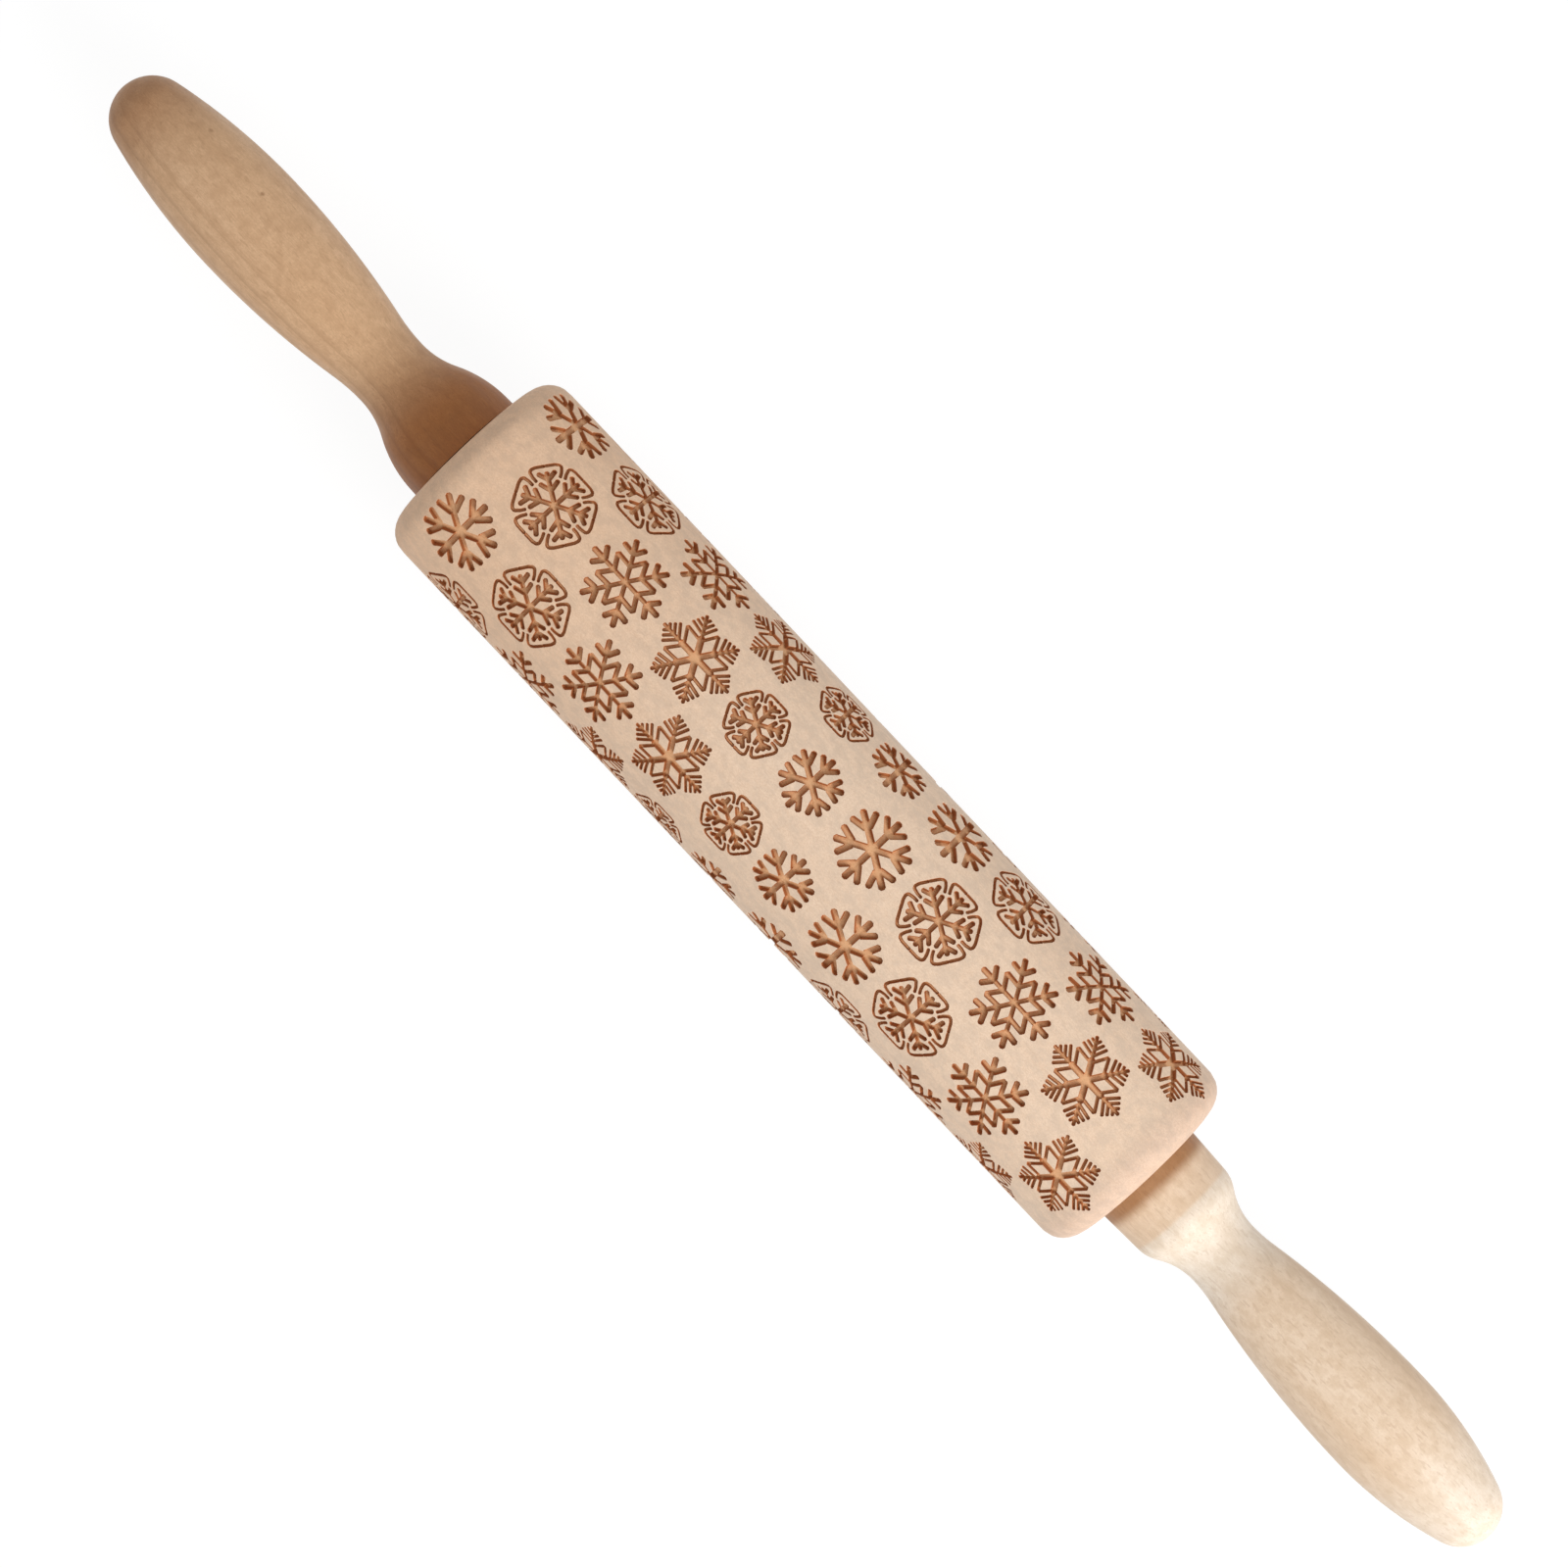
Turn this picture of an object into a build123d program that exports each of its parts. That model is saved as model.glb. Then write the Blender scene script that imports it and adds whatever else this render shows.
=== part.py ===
from build123d import *
import os

# A wooden rolling pin whose barrel spins on a fixed axle between two turned handles.
# Sizes are in millimetres. X runs along the pin, +Z is up, and the origin is the middle of the
# barrel, on its axis. The left end of the pin is at -X and the right end at +X.

# Barrel
barrel_length = 214
barrel_diameter = 50
rim_radius = 6
bore_diameter = 16
counterbore_diameter = 22
counterbore_depth = 2.9

# Axle, a dowel glued into both handles
axle_diameter = 10
socket_depth = 45
glue_gap = 0.05
glue_room = 0.6

# Bushes, pressed into the ends of the barrel
flange_thickness = 2
flange_clearance = 0.4
sleeve_length = 14
running_clearance = 0.08

# Washers, between the bushes and the handles
washer_diameter = 20
washer_thickness = 1.2
washer_clearance = 0.15
end_play = 0.3

# Handles. A place is measured from the handle's seat against its washer. A share says how far along
# an S-shaped stretch of the outline its bend changes over.
handle_length = 108.4
left_turning = {
    "collar_diameter": 29,
    "collar_end_diameter": 28.9,
    "collar_length": 1.5,
    "shoulder_share": 0.6,
    "neck_diameter": 18.1,
    "neck_place": 23.4,
    "hollow_share": 0.174,
    "grip_diameter": 26.4,
    "grip_place": 68,
    "nose_radius": 9.6,
}
right_turning = {
    "collar_diameter": 26.5,
    "collar_end_diameter": 25.6,
    "collar_length": 10.8,
    "shoulder_share": 0.35,
    "neck_diameter": 17.5,
    "neck_place": 24.2,
    "hollow_share": 0.12,
    "grip_diameter": 26.4,
    "grip_place": 74,
    "nose_radius": 9.2,
}

# Where each piece of the stack at an end of the barrel begins, from the middle of the pin
barrel_end = barrel_length / 2
flange_seat = barrel_end - counterbore_depth
washer_seat = flange_seat + flange_thickness + end_play
handle_seat = washer_seat + washer_thickness
axle_end = handle_seat + socket_depth - glue_room

# Each end's plane faces outwards, with its own X direction across the pin.
ends = {
    "left": Plane(origin=(0, 0, 0), x_dir=(0, -1, 0), z_dir=(-1, 0, 0)),
    "right": Plane(origin=(0, 0, 0), x_dir=(0, 1, 0), z_dir=(1, 0, 0)),
}

os.makedirs("parts", exist_ok=True)

# Barrel: a turned cylinder with rounded rims, bored through and counterbored for the bush flanges
with BuildPart() as roller_barrel:
    with BuildSketch(Plane.XZ):
        with BuildLine():
            Polyline(
                (-barrel_end, bore_diameter / 2),
                (-barrel_end, barrel_diameter / 2),
                (barrel_end, barrel_diameter / 2),
                (barrel_end, bore_diameter / 2),
                close=True,
            )
        make_face()
        fillet(vertices().group_by(Axis.Y)[-1], rim_radius)
    revolve(axis=Axis.X)
    for end in ends.values():
        with BuildSketch(end.offset(flange_seat)):
            Circle(counterbore_diameter / 2)
        extrude(amount=counterbore_depth, mode=Mode.SUBTRACT)
roller_barrel.part.label = "roller_barrel"
export_step(roller_barrel.part, "parts/roller_barrel.step")

# Axle: a plain dowel
with BuildPart() as axle_rod:
    with BuildSketch(Plane.YZ.offset(-axle_end)):
        Circle(axle_diameter / 2)
    extrude(amount=2 * axle_end)
axle_rod.part.label = "axle_rod"
export_step(axle_rod.part, "parts/axle_rod.step")

# Bushes: the sleeve fills the barrel's bore, and the flange sits on the floor of the counterbore
for side, end in ends.items():
    with BuildPart() as bush:
        with BuildSketch(end.offset(flange_seat)):
            Circle(counterbore_diameter / 2 - flange_clearance)
        extrude(amount=flange_thickness)
        with BuildSketch(end.offset(flange_seat)):
            Circle(bore_diameter / 2)
        extrude(amount=-sleeve_length)
        with BuildSketch(end.offset(flange_seat + flange_thickness)):
            Circle(axle_diameter / 2 + running_clearance)
        extrude(amount=-sleeve_length - flange_thickness, mode=Mode.SUBTRACT)
    bush.part.label = f"{side}_bush"
    export_step(bush.part, f"parts/{side}_bush.step")

# Washers: each lies flat against its handle
for side, end in ends.items():
    with BuildPart() as washer:
        with BuildSketch(end.offset(washer_seat)):
            Circle(washer_diameter / 2)
            Circle(axle_diameter / 2 + washer_clearance, mode=Mode.SUBTRACT)
        extrude(amount=washer_thickness)
    washer.part.label = f"{side}_washer"
    export_step(washer.part, f"parts/{side}_washer.step")


def between(start, stop, share):
    return (
        start[0] + share * (stop[0] - start[0]),
        start[1] + share * (stop[1] - start[1]),
    )


def turned_section(turning):
    # Half the handle's long section, with the seat at the origin and X towards the nose. Two tangent
    # arcs make each S-shaped stretch: the shoulder down into the neck, then the hollow up to the grip.
    collar_end = (turning["collar_length"], turning["collar_end_diameter"] / 2)
    neck = (turning["neck_place"], turning["neck_diameter"] / 2)
    grip = (turning["grip_place"], turning["grip_diameter"] / 2)
    shoulder_end = between(collar_end, neck, turning["shoulder_share"])
    hollow_end = between(neck, grip, turning["hollow_share"])
    # From the widest place of the grip one long arc falls to the nose, a ball end that it meets
    # without a corner. That fixes the long arc's radius.
    nose_radius = turning["nose_radius"]
    nose_centre = handle_length - nose_radius
    reach = nose_centre - grip[0]
    fall_radius = (reach**2 + grip[1] ** 2 - nose_radius**2) / (2 * (grip[1] - nose_radius))
    nose_share = nose_radius / (fall_radius - nose_radius)
    nose_start = (nose_centre + nose_share * reach, nose_share * (fall_radius - grip[1]))
    with BuildSketch() as section:
        with BuildLine():
            Polyline(
                (handle_length, 0),
                (0, 0),
                (0, turning["collar_diameter"] / 2),
                collar_end,
            )
            shoulder = TangentArc(collar_end, shoulder_end, tangent=(1, 0))
            TangentArc(shoulder_end, neck, tangent=shoulder % 1)
            hollow = TangentArc(neck, hollow_end, tangent=(1, 0))
            TangentArc(hollow_end, grip, tangent=hollow % 1)
            fall = TangentArc(grip, nose_start, tangent=(1, 0))
            TangentArc(nose_start, (handle_length, 0), tangent=fall % 1)
        make_face()
    return section.sketch


# Handles: turned to their own outlines, with a blind socket for the axle
for side, turning in (("left", left_turning), ("right", right_turning)):
    end = ends[side]
    along = Plane(origin=end.offset(handle_seat).origin, x_dir=end.z_dir, z_dir=end.x_dir)
    section = turned_section(turning)
    with BuildPart() as handle:
        with BuildSketch(along):
            add(section)
        revolve(axis=Axis.X)
        with BuildSketch(end.offset(handle_seat)):
            Circle(axle_diameter / 2 + glue_gap)
        extrude(amount=socket_depth, mode=Mode.SUBTRACT)
    handle.part.label = f"{side}_handle"
    export_step(handle.part, f"parts/{side}_handle.step")
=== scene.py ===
import bmesh
import bpy
import math
import numpy as np
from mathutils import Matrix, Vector
from mathutils.geometry import delaunay_2d_cdt


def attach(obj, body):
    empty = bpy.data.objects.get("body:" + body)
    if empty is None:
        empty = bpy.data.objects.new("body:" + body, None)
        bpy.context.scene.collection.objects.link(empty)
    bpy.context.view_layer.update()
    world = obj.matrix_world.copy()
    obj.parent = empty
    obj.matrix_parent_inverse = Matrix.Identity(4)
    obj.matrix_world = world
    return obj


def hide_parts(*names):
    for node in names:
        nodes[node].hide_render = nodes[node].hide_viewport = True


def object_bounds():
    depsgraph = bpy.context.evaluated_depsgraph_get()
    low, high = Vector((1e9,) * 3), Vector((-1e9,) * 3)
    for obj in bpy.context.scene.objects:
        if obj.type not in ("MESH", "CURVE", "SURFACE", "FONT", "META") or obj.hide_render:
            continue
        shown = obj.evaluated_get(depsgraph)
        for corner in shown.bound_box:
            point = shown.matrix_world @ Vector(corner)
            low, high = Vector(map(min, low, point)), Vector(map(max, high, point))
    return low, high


# Rolling pin with a barrel engraved all round with snowflakes, and two turned handles

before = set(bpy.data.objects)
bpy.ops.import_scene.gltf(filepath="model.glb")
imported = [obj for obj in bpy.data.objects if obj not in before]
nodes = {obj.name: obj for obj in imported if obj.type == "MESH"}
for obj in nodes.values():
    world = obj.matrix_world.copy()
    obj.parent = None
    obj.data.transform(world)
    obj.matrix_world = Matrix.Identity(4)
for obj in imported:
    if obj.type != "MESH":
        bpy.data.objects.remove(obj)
cadBox = [list(corner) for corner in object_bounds()]
print("pin loaded:", sorted(nodes))


# Small helpers for materials and their node trees

def emptyMaterial(name):
    material = bpy.data.materials.new(name)
    material.use_nodes = True
    material.node_tree.nodes.clear()
    return material


def addNode(tree, kind, inputs=None, **settings):
    made = tree.nodes.new(kind)
    for key, value in settings.items():
        setattr(made, key, value)
    for key, value in (inputs or {}).items():
        if isinstance(value, bpy.types.NodeSocket):
            tree.links.new(value, made.inputs[key])
        else:
            made.inputs[key].default_value = value
    return made


def mathNode(tree, operation, a, b=0.0, clamp=False):
    return addNode(tree, "ShaderNodeMath", {0: a, 1: b}, operation=operation, use_clamp=clamp).outputs[0]


def vectorNode(tree, operation, *inputs):
    return addNode(tree, "ShaderNodeVectorMath", dict(enumerate(inputs)), operation=operation)


def mixColour(tree, factor, a, b, blend="MIX"):   # sockets 6 and 7 and output 2 are the mix node's colours
    mixed = addNode(tree, "ShaderNodeMix", {0: factor, 6: a, 7: b}, data_type="RGBA", blend_type=blend)
    return mixed.outputs[2]


def mapTo(tree, value, fromLow, fromHigh, toLow=0.0, toHigh=1.0, smooth=False):
    kind = "SMOOTHSTEP" if smooth else "LINEAR"
    made = addNode(tree, "ShaderNodeMapRange", {0: value, 1: fromLow, 2: fromHigh, 3: toLow, 4: toHigh},
                   interpolation_type=kind)
    return made.outputs[0]


def stretched(tree, vector, along, across):   # cells per metre along the grain, which is X, and across it
    return vectorNode(tree, "MULTIPLY", vector, (along, across, across)).outputs[0]


def noiseAt(tree, vector, detail=2.0, roughness=0.5, scale=1.0):
    inputs = {"Vector": vector, "Scale": scale, "Detail": detail, "Roughness": roughness}
    return addNode(tree, "ShaderNodeTexNoise", inputs).outputs[0]


def coat(piece, material):
    piece.data.materials.clear()
    piece.data.materials.append(material)


# Wood: growth rings round a pith beside the piece, streaks, fibres, ray flecks and pores

wood = {
    "driftCells": (9, 30),                  # how the rings wander, in cells per metre along and across
    "driftDetail": 1.5,
    "ringEnd": 0.97,                        # where a ring's dark line is darkest, as a share of the ring
    "ringPatchy": (0.35, 0.65, 0.5, 1.0),   # between the patches a ring's line has half its strength
    "fleckEdge": 0.06,
    "knotCore": 0.3,                        # share of a knot's size that is darkest
    "knotShare": 0.75,
    "roughFrom": (0.25, 0.75),
    "relief": {"fibre": 0.6, "speckle": 0.5, "fleck": -0.6},
    "reliefDepth": 0.00006,
    "coatRoughness": 0.5,
    "ior": 1.45,
}

# The noise behind each mark: cells per metre, detail and roughness, and whether it wanders with the rings
woodNoise = {
    "patch": {"along": 14, "across": 90, "detail": 2.0, "roughness": 0.5, "wanders": True},
    "streak": {"along": 22, "across": 420, "detail": 3.0, "roughness": 0.55, "wanders": True},
    "fibre": {"along": 260, "across": 3600, "detail": 2.0, "roughness": 0.6, "wanders": False},
    "fleck": {"along": 420, "across": 1700, "detail": 1.0, "roughness": 0.4, "wanders": True},
    "speckle": {"along": 2300, "across": 4200, "detail": 1.0, "roughness": 0.5, "wanders": False},
    "mottle": {"along": 330, "across": 430, "detail": 3.0, "roughness": 0.66, "wanders": True},
}

# Each mark in the order it is laid on: where it begins, where it is full, and the colour it brings
woodMarks = [
    ("ring", 0.0, 1.0, "late"),
    ("streak", 0.3, 0.7, "streak"),
    ("patch", 0.35, 0.68, "patch"),
    ("fleck", 0.0, 1.0, "fleck"),
    ("fibre", 0.35, 0.7, "late"),
    ("speckle", 0.35, 0.65, "fleck"),
    ("mottle", 0.42, 0.62, "mottle"),
]


def woodFields(tree, look, coords):   # how strong each mark is, all over the piece
    placed = addNode(tree, "ShaderNodeMapping", {"Vector": coords, "Location": look["pith"],
                                                 "Rotation": look["lean"]}).outputs[0]
    drift = addNode(tree, "ShaderNodeTexNoise", {
        "Vector": stretched(tree, placed, *wood["driftCells"]), "Scale": 1.0,
        "Detail": wood["driftDetail"]}).outputs["Color"]
    drift = vectorNode(tree, "SUBTRACT", drift, (0.5, 0.5, 0.5)).outputs[0]
    wandering = vectorNode(tree, "MULTIPLY_ADD", drift, (look["wander"],) * 3, placed).outputs[0]
    fields = {}
    for mark, noise in woodNoise.items():
        vector = stretched(tree, wandering if noise["wanders"] else coords, noise["along"], noise["across"])
        fields[mark] = noiseAt(tree, vector, noise["detail"], noise["roughness"])
    fleckFrom = look["fleckFrom"]
    fields["fleck"] = mapTo(tree, fields["fleck"], fleckFrom, fleckFrom + wood["fleckEdge"], smooth=True)
    ringScale = 2 * math.pi / (20 * look["ringWidth"])   # at scale 1 a wave has 20 / 2 pi rings a metre
    rings = addNode(tree, "ShaderNodeTexWave",
                    {"Vector": stretched(tree, wandering, 0.0, 1.0), "Scale": ringScale, "Distortion": 0.0},
                    wave_type="RINGS", rings_direction="X", wave_profile="SAW").outputs["Fac"]
    ring = mapTo(tree, rings, look["lineFrom"], wood["ringEnd"], smooth=True)
    ring = mathNode(tree, "MULTIPLY", ring, mapTo(tree, fields["patch"], *wood["ringPatchy"]))
    across = addNode(tree, "ShaderNodeSeparateXYZ", {0: coords}).outputs["Y"]
    fade = mapTo(tree, across, *look["ringFade"], 1.0, look["ringLeast"])
    fields["ring"] = mathNode(tree, "MULTIPLY", ring, fade)
    return fields


def woodColour(tree, look, coords, fields):
    colour = look["pale"]
    for mark, begins, full, colourName in woodMarks:
        factor = mapTo(tree, fields[mark], begins, full, 0.0, look[mark + "Share"])
        colour = mixColour(tree, factor, colour, look[colourName])
    along = addNode(tree, "ShaderNodeSeparateXYZ", {0: coords}).outputs["X"]
    # painted light and shade: bands along X multiply the wood's colour
    for start, full, fading, end, paintedTint in look["paintedLight"]:
        rising = mapTo(tree, along, start, full, smooth=True)
        falling = mapTo(tree, along, fading, end, 1.0, 0.0, smooth=True)
        colour = mixColour(tree, mathNode(tree, "MINIMUM", rising, falling), colour, paintedTint, "MULTIPLY")
    for place, size in look.get("knots", []):
        away = vectorNode(tree, "DISTANCE", coords, place).outputs["Value"]
        knot = mapTo(tree, away, wood["knotCore"] * size, size, wood["knotShare"], 0.0, smooth=True)
        colour = mixColour(tree, knot, colour, look["fleck"])
    return colour


def turnedWood(name, look):
    material = emptyMaterial(name)
    tree = material.node_tree
    coords = addNode(tree, "ShaderNodeTexCoord").outputs["Object"]
    fields = woodFields(tree, look, coords)
    colour = woodColour(tree, look, coords, fields)
    height = 0.0
    for mark, share in wood["relief"].items():
        height = mathNode(tree, "ADD", height, mathNode(tree, "MULTIPLY", fields[mark], share))
    bump = addNode(tree, "ShaderNodeBump", {"Height": height, "Strength": look["bump"],
                                            "Distance": wood["reliefDepth"]})
    roughness = mapTo(tree, fields["streak"], *wood["roughFrom"], look["roughLow"], look["roughHigh"])
    shader = addNode(tree, "ShaderNodeBsdfPrincipled", {
        "Base Color": colour, "Roughness": roughness, "IOR": wood["ior"], "Normal": bump.outputs[0],
        "Specular IOR Level": look["specular"], "Coat Weight": look["polish"],
        "Coat Roughness": wood["coatRoughness"]})
    addNode(tree, "ShaderNodeOutputMaterial", {"Surface": shader.outputs[0]})
    return {"material": material, "shader": shader, "colour": colour, "roughness": roughness,
            "speckle": fields["speckle"]}


# Engraved barrel. Sizes in millimetres, turned into metres when the mesh is made

millimetre = 0.001
solidSize = [round(side / millimetre, 3) for side in nodes["roller_barrel"].dimensions]

barrel = {
    "end": solidSize[0] / 2,
    "radius": solidSize[2] / 2 - 0.025,   # a hair under the solid's
    "rim": 6.0,
    "bore": 8.0,
    "counterbore": 11.0,
    "counterboreDepth": 2.9,
    "mouthBevel": 0.2,        # at the counterbore's mouth
    "faceRing": 15.0,         # one more ring of corners in the end face
    "rimShares": (0.0, 0.3, 0.55, 0.75, 0.9, 0.975, 1.0),   # rings of corners from the band to the end
    "boreShares": (0.66, 0.33, 0.0, -0.33, -0.66),          # and along the bore
    "bandEnd": 103.5,         # the engraved band runs a little way on to the rounded rims
    "carveDepth": 1.1,
    "fullDepthHalf": 0.62,    # strokes with a smaller half width are cut less deep in proportion
    "wallRun": 0.2,           # how far the wall leans in from its top edge to the floor
    "endCut": 0.55,           # how much of its half width a stroke's end loses at its corners
    "cornerInset": 0.5858,    # 2 less the square root of 2: a corner's shift for each step inwards
    "bendLap": 0.6,           # how much of its half width a bent stroke runs on past each bend
    "shadowDrift": 0.32,       # painted shadow: the burn mask moves this far towards +X, so each floor is darker on the side the lamp doesn't reach
    "burnAndShadeRun": 0.5,          # how far across the floor the burn and the painted shade fade
    "rows": 8,
    "firstTurn": -11.5,       # degrees from the top of the barrel to the first row
    "drift": 0.0105,          # how far the rows wander round the barrel for each step along it
    "acrossRow": 20,          # steps across one row, so 160 round the barrel
    "longStep": 2.0,          # steps along the barrel
    "strokeStep": 1.8,        # longest step round a stroke
    "middleFrom": 0.35,       # strokes with a larger half width get corners along their middle too
    "middleSteps": 4,
    "plainSteps": 5,          # steps of the plain wood's grid from a row's middle to its edge
    "plainGap": 0.45,         # how far that grid keeps off the strokes
    "mergeWithin": 0.0001,    # corners of a row that are this near are one
    "weldWithin": 0.002,      # and so are those where rows and rings meet
    "sharpAngle": 35,
}
halfRow = math.pi * barrel["radius"] / barrel["rows"]

# One arm of each snowflake, along +u, in shares of the flake's radius. A stroke is its path and half width.
# Strokes off the arm's middle are mirrored, and the arm is repeated round the flake from its first angle.

armCount = 6
flakeArms = {
    "fork": {
        "firstAngle": 90,
        "strokes": [
            ([(-0.09, 0.0), (0.995, 0.0)], 0.092),
            ([(0.49, 0.02), (0.86, 0.345)], 0.088),
        ],
    },
    "petal": {
        "firstAngle": 90,
        "strokes": [
            ([(-0.10, 0.0), (0.10, 0.0)], 0.10),
            ([(0.0, 0.0), (0.82, 0.0)], 0.064),
            ([(0.35, 0.0), (0.57, 0.245)], 0.062),
            ([(0.61, 0.0), (0.805, 0.235)], 0.064),
            ([(0.60, 0.278), (0.73, 0.35), (0.86, 0.39), (0.918, 0.352), (0.945, 0.25), (0.947, -0.01)],
             0.043),
        ],
    },
    "lattice": {
        "firstAngle": 0,
        "strokes": [
            ([(-0.056, 0.0), (0.66, 0.0)], 0.056),
            ([(0.62, 0.0), (1.045, 0.0)], 0.074),
            ([(0.35, -0.02), (0.60, 0.355)], 0.062),
            ([(0.66, 0.0), (0.865, 0.285)], 0.072),
        ],
    },
    "star": {
        "firstAngle": 0,
        "strokes": [
            ([(-0.15, 0.0), (0.15, 0.0)], 0.15),
            ([(0.0, 0.0), (0.53, 0.0)], 0.082),
            ([(0.5, 0.0), (1.04, 0.0)], 0.047),
            ([(0.41, 0.03), (0.645, 0.375)], 0.044),
            ([(0.55, 0.0), (0.802, 0.300)], 0.042),
            ([(0.695, 0.0), (0.878, 0.212)], 0.042),
            ([(0.84, 0.0), (0.955, 0.124)], 0.042),
        ],
    },
}

# Each flake: its arm, its size across, and how much wider the tool cuts it than a large one
flakeKinds = {
    "fork": {"arm": "fork", "across": 18.0, "widen": 1.0},
    "smallFork": {"arm": "fork", "across": 15.0, "widen": 1.08},
    "petal": {"arm": "petal", "across": 18.6, "widen": 1.0},
    "smallPetal": {"arm": "petal", "across": 14.6, "widen": 1.2},
    "lattice": {"arm": "lattice", "across": 19.5, "widen": 1.0},
    "star": {"arm": "star", "across": 19.5, "widen": 1.0},
}

# The two rows that take turns round the barrel, each flake with its place along it
flakeRows = [
    [("petal", -84.1), ("lattice", -61.9), ("star", -39.9), ("smallPetal", -20.8), ("smallFork", -3.8),
     ("fork", 15.5), ("petal", 36.3), ("lattice", 59.9), ("star", 82.3)],
    [("fork", -94.0), ("petal", -72.1), ("lattice", -50.2), ("star", -28.5), ("smallPetal", -9.2),
     ("smallFork", 7.3), ("fork", 26.6), ("petal", 47.3), ("lattice", 70.7), ("star", 93.2)],
]


def strokeBoxes(path, half, side):   # a box for each straight length of a stroke, on one side of the arm
    lap = barrel["bendLap"] * half
    boxes = []
    for i in range(len(path) - 1):
        (u0, v0), (u1, v1) = path[i], path[i + 1]
        long = math.hypot(u1 - u0, v1 - v0)
        du, dv = (u1 - u0) / long * lap, (v1 - v0) / long * lap
        if i > 0:
            u0, v0 = u0 - du, v0 - dv
        if i < len(path) - 2:
            u1, v1 = u1 + du, v1 + dv
        boxes.append((u0, side * v0, u1, side * v1, half))
    return boxes


def flakeStrokes(kind, place):   # every box of one flake, laid on its flat row
    flake = flakeKinds[kind]
    arm, radius = flakeArms[flake["arm"]], flake["across"] / 2
    boxes = []
    for path, half in arm["strokes"]:
        sides = (1,) if all(v == 0 for u, v in path) else (1, -1)
        for side in sides:
            boxes += strokeBoxes(path, half * flake["widen"], side)
    strokes = []
    for turn in range(armCount):
        angle = math.radians(arm["firstAngle"] + 360 / armCount * turn)
        c, s = math.cos(angle) * radius, math.sin(angle) * radius
        for u0, v0, u1, v1, half in boxes:
            x0, y0 = place + u0 * c - v0 * s, u0 * s + v0 * c
            x1, y1 = place + u1 * c - v1 * s, u1 * s + v1 * c
            long = math.hypot(x1 - x0, y1 - y0)
            ahead = ((x1 - x0) / long, (y1 - y0) / long)
            strokes.append({"start": (x0, y0), "stop": (x1, y1), "ahead": ahead, "long": long,
                            "half": half * radius})
    return strokes


def onStroke(points, stroke):   # how far each point lies along a stroke, and beside its middle line
    (x, y), (ux, uy) = stroke["start"], stroke["ahead"]
    dx, dy = points[:, 0] - x, points[:, 1] - y
    return dx * ux + dy * uy, np.abs(dx * uy - dy * ux)


def cutStrokes(points, strokes):
    # how far each point lies inside a stroke, negative outside, and how deep it is cut
    inside = np.full(len(points), -np.inf)
    depth = np.zeros(len(points))
    for stroke in strokes:
        along, beside = onStroke(points, stroke)
        half = stroke["half"]
        fromEnd = np.minimum(along, stroke["long"] - along)
        fromCorner = (fromEnd + half - beside - barrel["endCut"] * half) * math.sqrt(0.5)
        within = np.minimum(np.minimum(fromEnd, half - beside), fromCorner)
        inside = np.maximum(inside, within)
        share = min(1.0, half / barrel["fullDepthHalf"])
        depth = np.maximum(depth, share * np.clip(within / barrel["wallRun"], 0.0, 1.0))
    return inside, depth


def pointsBetween(start, stop, steps):   # evenly spaced, with the start but not the stop
    (x0, y0), (x1, y1) = start, stop
    return [(x0 + (x1 - x0) * k / steps, y0 + (y1 - y0) * k / steps) for k in range(steps)]


def rowBorder():
    end, across = barrel["bandEnd"], barrel["acrossRow"]
    along = round(2 * end / barrel["longStep"])
    corners = [(-end, -halfRow), (end, -halfRow), (end, halfRow), (-end, halfRow)]
    border = []
    for i, steps in enumerate((along, across, along, across)):
        border += pointsBetween(corners[i], corners[(i + 1) % 4], steps)
    return border


def strokeOutline(stroke, inset):   # the points round one stroke's box, drawn in by inset
    (x, y), (ux, uy), half = stroke["start"], stroke["ahead"], stroke["half"]
    cut = barrel["endCut"] * half - barrel["cornerInset"] * inset   # the ends' corners are cut off
    low, high, side = inset, stroke["long"] - inset, half - inset
    corners = []
    for along, beside in ((low + cut, -side), (high - cut, -side), (high, cut - side), (high, side - cut),
                          (high - cut, side), (low + cut, side), (low, side - cut), (low, cut - side)):
        corners.append((x + ux * along - uy * beside, y + uy * along + ux * beside))
    outline = []
    for start, stop in zip(corners, corners[1:] + corners[:1]):
        steps = max(1, math.ceil(math.dist(start, stop) / barrel["strokeStep"]))
        outline += pointsBetween(start, stop, steps)
    return outline


def strokeMiddle(stroke):
    return pointsBetween(stroke["start"], stroke["stop"], barrel["middleSteps"]) + [stroke["stop"]]


def plainPoints(strokes):   # a grid over the plain wood between the strokes
    end, step, steps = barrel["bandEnd"], barrel["longStep"], barrel["plainSteps"]
    places = np.arange(-end + step / 2, end, step)
    grid = np.array([(x, halfRow * k / steps) for x in places for k in range(1 - steps, steps)])
    clear = np.full(len(grid), np.inf)
    for stroke in strokes:
        along, beside = onStroke(grid, stroke)
        pastEnd = np.maximum(-along, along - stroke["long"])
        clear = np.minimum(clear, np.maximum(pastEnd, beside - stroke["half"]))
    return grid[clear > barrel["plainGap"]].tolist()


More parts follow.
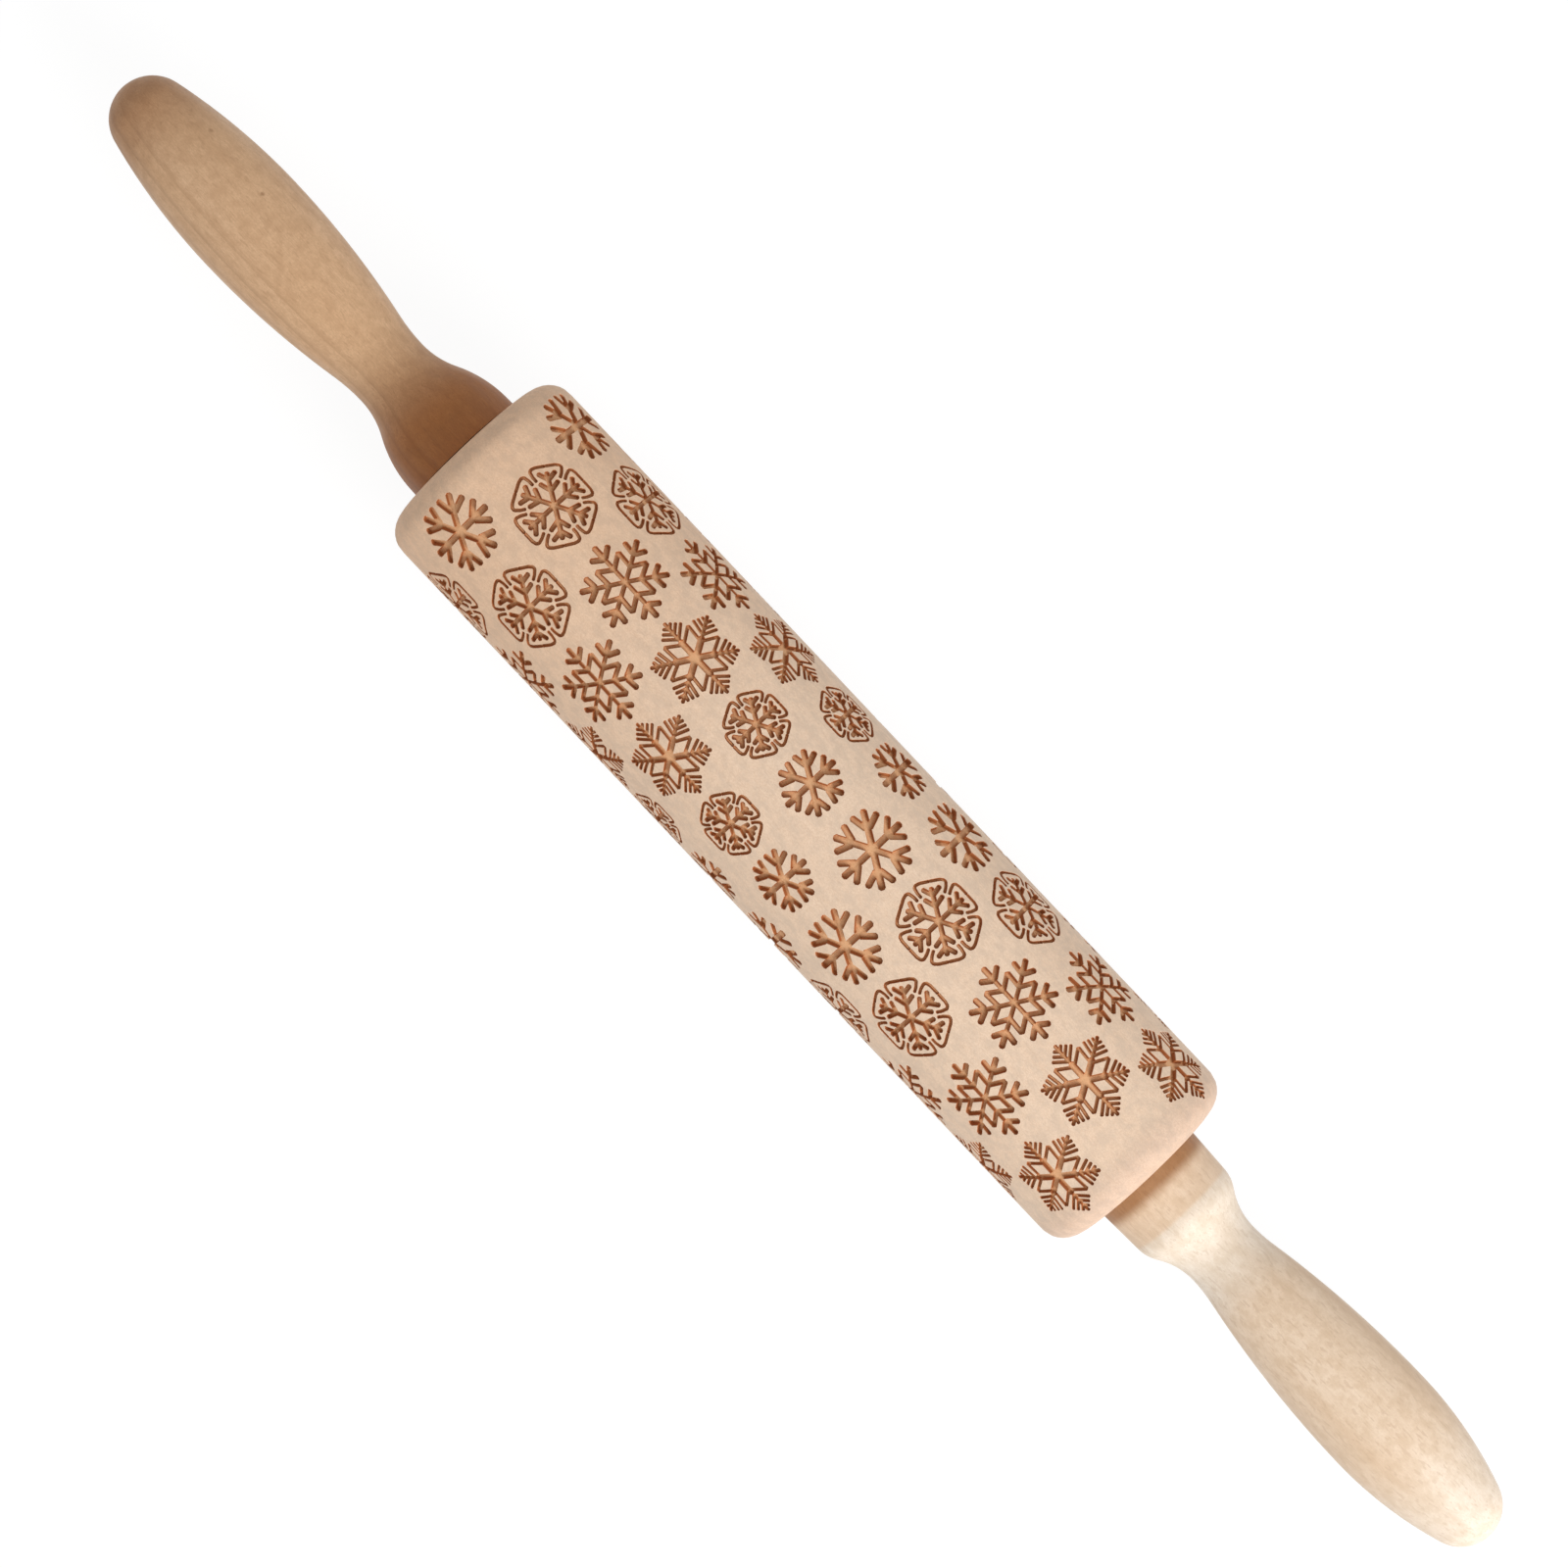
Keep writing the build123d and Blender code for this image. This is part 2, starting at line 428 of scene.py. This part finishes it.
def engraveRow(row):   # one row laid flat: its corners and triangles, and how each corner is cut and burnt
    strokes = [stroke for kind, place in row for stroke in flakeStrokes(kind, place)]
    points, edges = [], []

    def addLine(line, closed=True):
        first = len(points)
        points.extend(line)
        edges.extend((first + i, first + i + 1) for i in range(len(line) - 1))
        if closed:
            edges.append((first + len(line) - 1, first))

    addLine(rowBorder())
    for stroke in strokes:
        addLine(strokeOutline(stroke, 0.0))
        addLine(strokeOutline(stroke, barrel["wallRun"]))
        if stroke["half"] > barrel["middleFrom"]:
            addLine(strokeMiddle(stroke), closed=False)
    points += plainPoints(strokes)
    made = delaunay_2d_cdt([Vector(point) for point in points], edges, [], 0, barrel["mergeWithin"])
    flat = np.array([tuple(point) for point in made[0]])
    inside, depth = cutStrokes(flat, strokes)
    carve = np.clip(inside / barrel["wallRun"], 0.0, 1.0)
    # painted shade: the burn is pushed towards +X, so each stroke's floor is darker on the side the lamp
    # doesn't reach
    shiftedInside = cutStrokes(flat + [barrel["shadowDrift"], 0.0], strokes)[0]
    burnAndShade = 1.0 - np.clip((shiftedInside - barrel["wallRun"] / 2) / barrel["burnAndShadeRun"], 0.0, 1.0)
    return {"flat": flat, "triangles": np.array(made[2]), "depth": depth, "carve": carve, "burnAndShade": burnAndShade}


def rimRadius(x):   # the barrel's outline: straight, then a quarter round at each end
    past = np.maximum(np.abs(x) - (barrel["end"] - barrel["rim"]), 0.0)
    return barrel["radius"] - barrel["rim"] + np.sqrt(np.maximum(barrel["rim"] ** 2 - past ** 2, 0.0))


def turnedRings():   # place and radius of each ring: over one rim, through the bore and over the other rim
    end, bore, counterbore = barrel["end"], barrel["bore"], barrel["counterbore"]
    bandEnd, bevel = barrel["bandEnd"], barrel["mouthBevel"]
    floor = end - barrel["counterboreDepth"]
    rounding = [bandEnd + (end - bandEnd) * share for share in barrel["rimShares"]]
    rings = [(x, float(rimRadius(x))) for x in rounding]
    rings += [(end, barrel["faceRing"]), (end, counterbore + bevel), (end - bevel, counterbore)]
    rings += [(floor, counterbore), (floor, bore)]
    through = [(floor * share, bore) for share in barrel["boreShares"]]
    return rings + through + [(-x, reach) for x, reach in rings[::-1]]


def wrapped(x, reach, angle):   # points round the barrel, with the angle from its top towards -Y
    return np.stack([x, -reach * np.sin(angle), reach * np.cos(angle)], 1)


def weld(mesh):
    work = bmesh.new()
    work.from_mesh(mesh)
    bmesh.ops.remove_doubles(work, verts=work.verts, dist=barrel["weldWithin"] * millimetre)
    bmesh.ops.recalc_face_normals(work, faces=work.faces)
    work.to_mesh(mesh)
    work.free()


def engravedBarrel():
    radius, drift, rowTurn = barrel["radius"], barrel["drift"], 2 * math.pi / barrel["rows"]
    firstTurn = math.radians(barrel["firstTurn"])
    corners, faces = [], []
    marks = {"carve": [], "burnAndShade": []}
    count = 0
    cutRows = [engraveRow(row) for row in flakeRows]
    for index in range(barrel["rows"]):
        cut = cutRows[index % len(cutRows)]
        x, y = cut["flat"][:, 0], cut["flat"][:, 1]
        angle = (y + drift * x) / radius + index * rowTurn + firstTurn
        corners.append(wrapped(x, rimRadius(x) - barrel["carveDepth"] * cut["depth"], angle))
        faces += (cut["triangles"][:, ::-1] + count).tolist()
        for name, values in marks.items():
            values.append(cut[name])
        count += len(x)
    # the rest is turned: rims, end faces, counterbores and bore, in rings that meet the band
    sides = barrel["rows"] * barrel["acrossRow"]
    turns = np.arange(sides) * (2 * math.pi / sides) + firstTurn - rowTurn / 2
    rings = turnedRings()
    for x, reach in rings:
        corners.append(wrapped(np.full(sides, x), reach, turns + drift * x / radius))
    for ring in range(1, len(rings)):
        this, last = count + ring * sides, count + (ring - 1) * sides
        for k in range(sides):
            n = (k + 1) % sides
            faces.append((this + k, this + n, last + n, last + k))
    mesh = bpy.data.meshes.new("engravedBarrel")
    mesh.from_pydata((np.concatenate(corners) * millimetre).tolist(), [], faces)
    for name, values in marks.items():
        values.append(np.zeros(len(rings) * sides))
        layer = mesh.attributes.new(name, "FLOAT", "POINT")
        layer.data.foreach_set("value", np.concatenate(values).astype(np.float32))
    weld(mesh)
    mesh.shade_smooth()
    mesh.set_sharp_from_angle(angle=math.radians(barrel["sharpAngle"]))
    piece = bpy.data.objects.new("engraved_barrel", mesh)
    bpy.context.scene.collection.objects.link(piece)
    print("barrel engraved:", len(mesh.vertices), "vertices,", len(mesh.polygons), "faces")
    return piece


barrelLook = {
    "pale": (0.91, 0.69, 0.515, 1), "late": (0.76, 0.54, 0.375, 1), "streak": (0.84, 0.62, 0.45, 1),
    "patch": (0.93, 0.73, 0.56, 1), "fleck": (0.56, 0.36, 0.23, 1), "mottle": (0.66, 0.51, 0.39, 1),
    "ringShare": 0.22, "streakShare": 0.35, "patchShare": 0.35, "fleckShare": 0.10, "fibreShare": 0.16,
    "speckleShare": 0.28, "mottleShare": 0.5,
    "pith": (0.0, 0.045, 0.03), "lean": (0.0, 0.01, 0.015), "wander": 0.006, "ringWidth": 0.0042,
    "lineFrom": 0.55, "ringFade": (-0.03, 0.03), "ringLeast": 1.0, "fleckFrom": 0.60,
    "roughLow": 0.55, "roughHigh": 0.7, "specular": 0.35, "polish": 0.0, "bump": 0.5,
    # painted light and shade in bands: where along X each band starts, is full, begins to fade and ends
    # painted shade: darker towards the left end, far from the lamp, and darker and greyer over the right-hand
    # rim
    "paintedLight": [(-0.109, -0.108, -0.107, 0.003, (0.97, 0.88, 0.80, 1)),
              (0.096, 0.105, 0.108, 0.109, (0.83, 0.80, 0.81, 1))],
    # the engraving: its wall, its floor browned by burn and by painted shade, and its clean floor
    "wall": (0.385, 0.122, 0.036, 1), "scorchAndShade": (0.465, 0.19, 0.068, 1), "floor": (0.84, 0.475, 0.25, 1),
    "wallEdge": (0.02, 0.22),     # how far down the wall the wood's colour turns into the wall's
    "floorEdge": (0.80, 1.0),     # and the wall's into the floor's
    "sootUneven": 0.9, "cutRougher": 0.2,
}


def engravedWood():
    made = turnedWood("engravedBeech", barrelLook)
    tree, shader = made["material"].node_tree, made["shader"]
    carve, burnAndShade = [addNode(tree, "ShaderNodeAttribute", attribute_name=name,
                           attribute_type="GEOMETRY").outputs["Fac"] for name in ("carve", "burnAndShade")]
    uneven = mathNode(tree, "SUBTRACT", made["speckle"], 0.5)
    uneven = mathNode(tree, "MULTIPLY", uneven, barrelLook["sootUneven"])
    # the floor browns where the burn and the painted shade lie
    burnedAndShaded = mathNode(tree, "ADD", burnAndShade, uneven, clamp=True)
    floor = mixColour(tree, burnedAndShaded, barrelLook["floor"], barrelLook["scorchAndShade"])
    cut = mixColour(tree, mapTo(tree, carve, *barrelLook["floorEdge"]), barrelLook["wall"], floor)
    engraved = mapTo(tree, carve, *barrelLook["wallEdge"])
    colour = mixColour(tree, engraved, made["colour"], cut)
    rougher = mathNode(tree, "MULTIPLY", engraved, barrelLook["cutRougher"])
    roughness = mathNode(tree, "ADD", made["roughness"], rougher)
    tree.links.new(colour, shader.inputs["Base Color"])
    tree.links.new(roughness, shader.inputs["Roughness"])
    return made["material"]


barrelPiece = engravedBarrel()
coat(barrelPiece, engravedWood())
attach(barrelPiece, "roller")
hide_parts("roller_barrel")


# Handles: turned from two different boards, the left one darker

leftLook = {
    "pale": (0.76, 0.485, 0.28, 1), "late": (0.41, 0.225, 0.105, 1), "streak": (0.64, 0.38, 0.20, 1),
    "patch": (0.82, 0.55, 0.345, 1), "fleck": (0.36, 0.19, 0.09, 1), "mottle": (0.53, 0.31, 0.165, 1),
    "ringShare": 0.9, "streakShare": 0.6, "patchShare": 0.55, "fleckShare": 0.25, "fibreShare": 0.25,
    "speckleShare": 0.2, "mottleShare": 0.45,
    "pith": (0.0, -0.0161, -0.022), "lean": (0.0, 0.0, 0.0), "wander": 0.004, "ringWidth": 0.0042,
    "lineFrom": 0.6, "ringFade": (-0.0045, -0.002), "ringLeast": 0.2, "fleckFrom": 0.64,
    "roughLow": 0.42, "roughHigh": 0.58, "specular": 0.4, "polish": 0.05, "bump": 0.4,
    # painted shade at the collar, which lies in the barrel's shadow, and over the nose, which faces away from
    # the lamp
    "paintedLight": [(-0.139, -0.115, -0.104, -0.1, (0.55, 0.33, 0.15, 1)),
              (-0.24, -0.218, -0.214, -0.191, (0.67, 0.55, 0.45, 1))],
    # three dark specks on the grip, each with its place and size
    "knots": [((-0.1767, 0.0061, 0.0116), 0.0007), ((-0.1947, 0.0077, 0.0096), 0.0009),
              ((-0.2031, 0.0009, 0.011), 0.0008)],
}
rightLook = {
    "pale": (0.81, 0.62, 0.45, 1), "late": (0.64, 0.44, 0.28, 1), "streak": (0.68, 0.49, 0.33, 1),
    "patch": (0.90, 0.74, 0.58, 1), "fleck": (0.54, 0.37, 0.24, 1), "mottle": (0.64, 0.46, 0.30, 1),
    "ringShare": 0.3, "streakShare": 0.75, "patchShare": 0.7, "fleckShare": 0.38, "fibreShare": 0.25,
    "speckleShare": 0.16, "mottleShare": 0.5,
    "pith": (0.0, -0.02, 0.028), "lean": (0.0, 0.03, -0.03), "wander": 0.007, "ringWidth": 0.006,
    "lineFrom": 0.6, "ringFade": (-0.01, 0.01), "ringLeast": 0.6, "fleckFrom": 0.61,
    "roughLow": 0.45, "roughHigh": 0.6, "specular": 0.45, "polish": 0.15, "bump": 0.4,
    # painted shade beside the barrel, which keeps the light off the collar there, and painted highlights at
    # the shoulder and over the nose
    "paintedLight": [(0.104, 0.105, 0.1095, 0.1128, (0.48, 0.32, 0.19, 1)),
              (0.1178, 0.119, 0.132, 0.146, (1.06, 1.18, 1.33, 1)),
              (0.184, 0.207, 0.23, 0.24, (1.03, 1.13, 1.26, 1))],
}
axleLook = dict(rightLook, pith=(0.0, 0.01, 0.012), ringWidth=0.003, polish=0.0, paintedLight=[])

for node, name, look in (("left_handle", "tanBeech", leftLook), ("right_handle", "creamBeech", rightLook),
                         ("axle_rod", "dowelBeech", axleLook)):
    coat(nodes[node], turnedWood(name, look)["material"])
print("handles and axle finished")


# Bushes and washers: natural nylon, faintly mottled, with fine turning marks

nylon = {
    "base": (0.80, 0.78, 0.72, 1),
    "shade": (0.68, 0.65, 0.58, 1),
    "rough": (0.38, 0.52),
    "cloud": {"detail": 3.0, "roughness": 0.6, "scale": 240.0},
    "cloudRange": (0.3, 0.7),
    "grain": {"detail": 2.0, "roughness": 0.6, "scale": 2600.0},
    "grainShare": 0.5,
    "markScale": 260.0,
    "markWobble": 0.6,
    "markShare": 0.3,
    "bump": 0.25,
    "reliefDepth": 0.00004,
    "ior": 1.53,
}


def mouldedNylon():
    material = emptyMaterial("naturalNylon")
    tree = material.node_tree
    coords = addNode(tree, "ShaderNodeTexCoord").outputs["Object"]
    cloud = mapTo(tree, noiseAt(tree, coords, **nylon["cloud"]), *nylon["cloudRange"])
    grain = noiseAt(tree, coords, **nylon["grain"])
    marks = addNode(tree, "ShaderNodeTexWave",
                    {"Vector": coords, "Scale": nylon["markScale"], "Distortion": nylon["markWobble"]},
                    wave_type="RINGS", rings_direction="X").outputs["Fac"]
    height = mathNode(tree, "ADD", mathNode(tree, "MULTIPLY", grain, nylon["grainShare"]),
                      mathNode(tree, "MULTIPLY", marks, nylon["markShare"]))
    bump = addNode(tree, "ShaderNodeBump", {"Height": height, "Strength": nylon["bump"],
                                            "Distance": nylon["reliefDepth"]})
    shader = addNode(tree, "ShaderNodeBsdfPrincipled", {
        "Base Color": mixColour(tree, cloud, nylon["base"], nylon["shade"]),
        "Roughness": mapTo(tree, cloud, 0.0, 1.0, *nylon["rough"]),
        "IOR": nylon["ior"], "Normal": bump.outputs[0]})
    addNode(tree, "ShaderNodeOutputMaterial", {"Surface": shader.outputs[0]})
    return material


nylonMaterial = mouldedNylon()
for node in ("left_bush", "right_bush", "left_washer", "right_washer"):
    coat(nodes[node], nylonMaterial)
print("bushes and washers finished")


# Floor, world, lamp and camera

studio = {
    "floorHeight": cadBox[0][2] - 0.00002,   # a hair under the barrel
    "floorSize": 6.0,
    "floorColour": (0.86, 0.86, 0.86, 1),
    "floorSeen": (0.14, 0.14, 0.14, 1),      # the camera sees a dim floor that glows
    "floorGlow": 0.91,
    "fillStrength": 0.52,
    "whiteStrength": 1.0,
    "lampPlace": (1.0, -0.06, 0.68),
    "lampSize": 0.8,
    "lampPower": 11.8,
    "lampColour": (1.0, 0.99, 0.975),
    "cameraPlace": (-0.0076, 0.0006, 1.17),
    "cameraTurn": 46.65,
    "lens": 123.77,
    "sensor": 36.0,
    "clip": (0.01, 20.0),
}
white = (1, 1, 1, 1)


def whiteRays(tree):   # 1 for what the camera sees, straight on or in gloss or glass
    rays = addNode(tree, "ShaderNodeLightPath")
    seen = mathNode(tree, "MAXIMUM", rays.outputs["Is Camera Ray"], rays.outputs["Is Glossy Ray"])
    return mathNode(tree, "MAXIMUM", seen, rays.outputs["Is Transmission Ray"])


def studioFloor():
    bpy.ops.mesh.primitive_plane_add(size=studio["floorSize"], location=(0, 0, studio["floorHeight"]))
    floor = bpy.context.object
    floor.name = "studio_floor"
    material = emptyMaterial("paleFloor")
    tree = material.node_tree
    matt = addNode(tree, "ShaderNodeBsdfDiffuse", {"Color": studio["floorColour"]})
    dimmed = addNode(tree, "ShaderNodeBsdfDiffuse", {"Color": studio["floorSeen"]})
    glow = addNode(tree, "ShaderNodeEmission", {"Color": white, "Strength": studio["floorGlow"]})
    seen = addNode(tree, "ShaderNodeAddShader", {0: dimmed.outputs[0], 1: glow.outputs[0]})
    mixed = addNode(tree, "ShaderNodeMixShader", {0: whiteRays(tree), 1: matt.outputs[0], 2: seen.outputs[0]})
    addNode(tree, "ShaderNodeOutputMaterial", {"Surface": mixed.outputs[0]})
    coat(floor, material)


def studioWorld():
    world = bpy.data.worlds.new("paleRoom")
    world.use_nodes = True
    tree = world.node_tree
    tree.nodes.clear()
    fill = addNode(tree, "ShaderNodeBackground", {"Color": white, "Strength": studio["fillStrength"]})
    bright = addNode(tree, "ShaderNodeBackground", {"Color": white, "Strength": studio["whiteStrength"]})
    mixed = addNode(tree, "ShaderNodeMixShader",
                    {0: whiteRays(tree), 1: fill.outputs[0], 2: bright.outputs[0]})
    addNode(tree, "ShaderNodeOutputWorld", {"Surface": mixed.outputs[0]})
    bpy.context.scene.world = world


def studioLamp():   # one round softbox beyond the right-hand end, aimed at the middle of the barrel
    lamp = bpy.data.lights.new("endSoftbox", "AREA")
    lamp.shape = "DISK"
    lamp.size = studio["lampSize"]
    lamp.energy = studio["lampPower"]
    lamp.color = studio["lampColour"]
    holder = bpy.data.objects.new("endSoftbox", lamp)
    holder.location = studio["lampPlace"]
    holder.rotation_euler = (-Vector(studio["lampPlace"])).to_track_quat("-Z", "Y").to_euler()
    bpy.context.scene.collection.objects.link(holder)


def studioCamera():   # straight above the pin, turned so that it lies across the picture
    camera = bpy.data.objects.new("camera", bpy.data.cameras.new("camera"))
    camera.data.sensor_width = studio["sensor"]
    camera.data.lens = studio["lens"]
    camera.data.clip_start, camera.data.clip_end = studio["clip"]
    camera.location = studio["cameraPlace"]
    camera.rotation_euler = (0, 0, math.radians(studio["cameraTurn"]))
    bpy.context.scene.collection.objects.link(camera)
    bpy.context.scene.camera = camera


studioFloor()
studioWorld()
studioLamp()
studioCamera()
bpy.context.scene.view_settings.view_transform = "Standard"
print("studio ready")
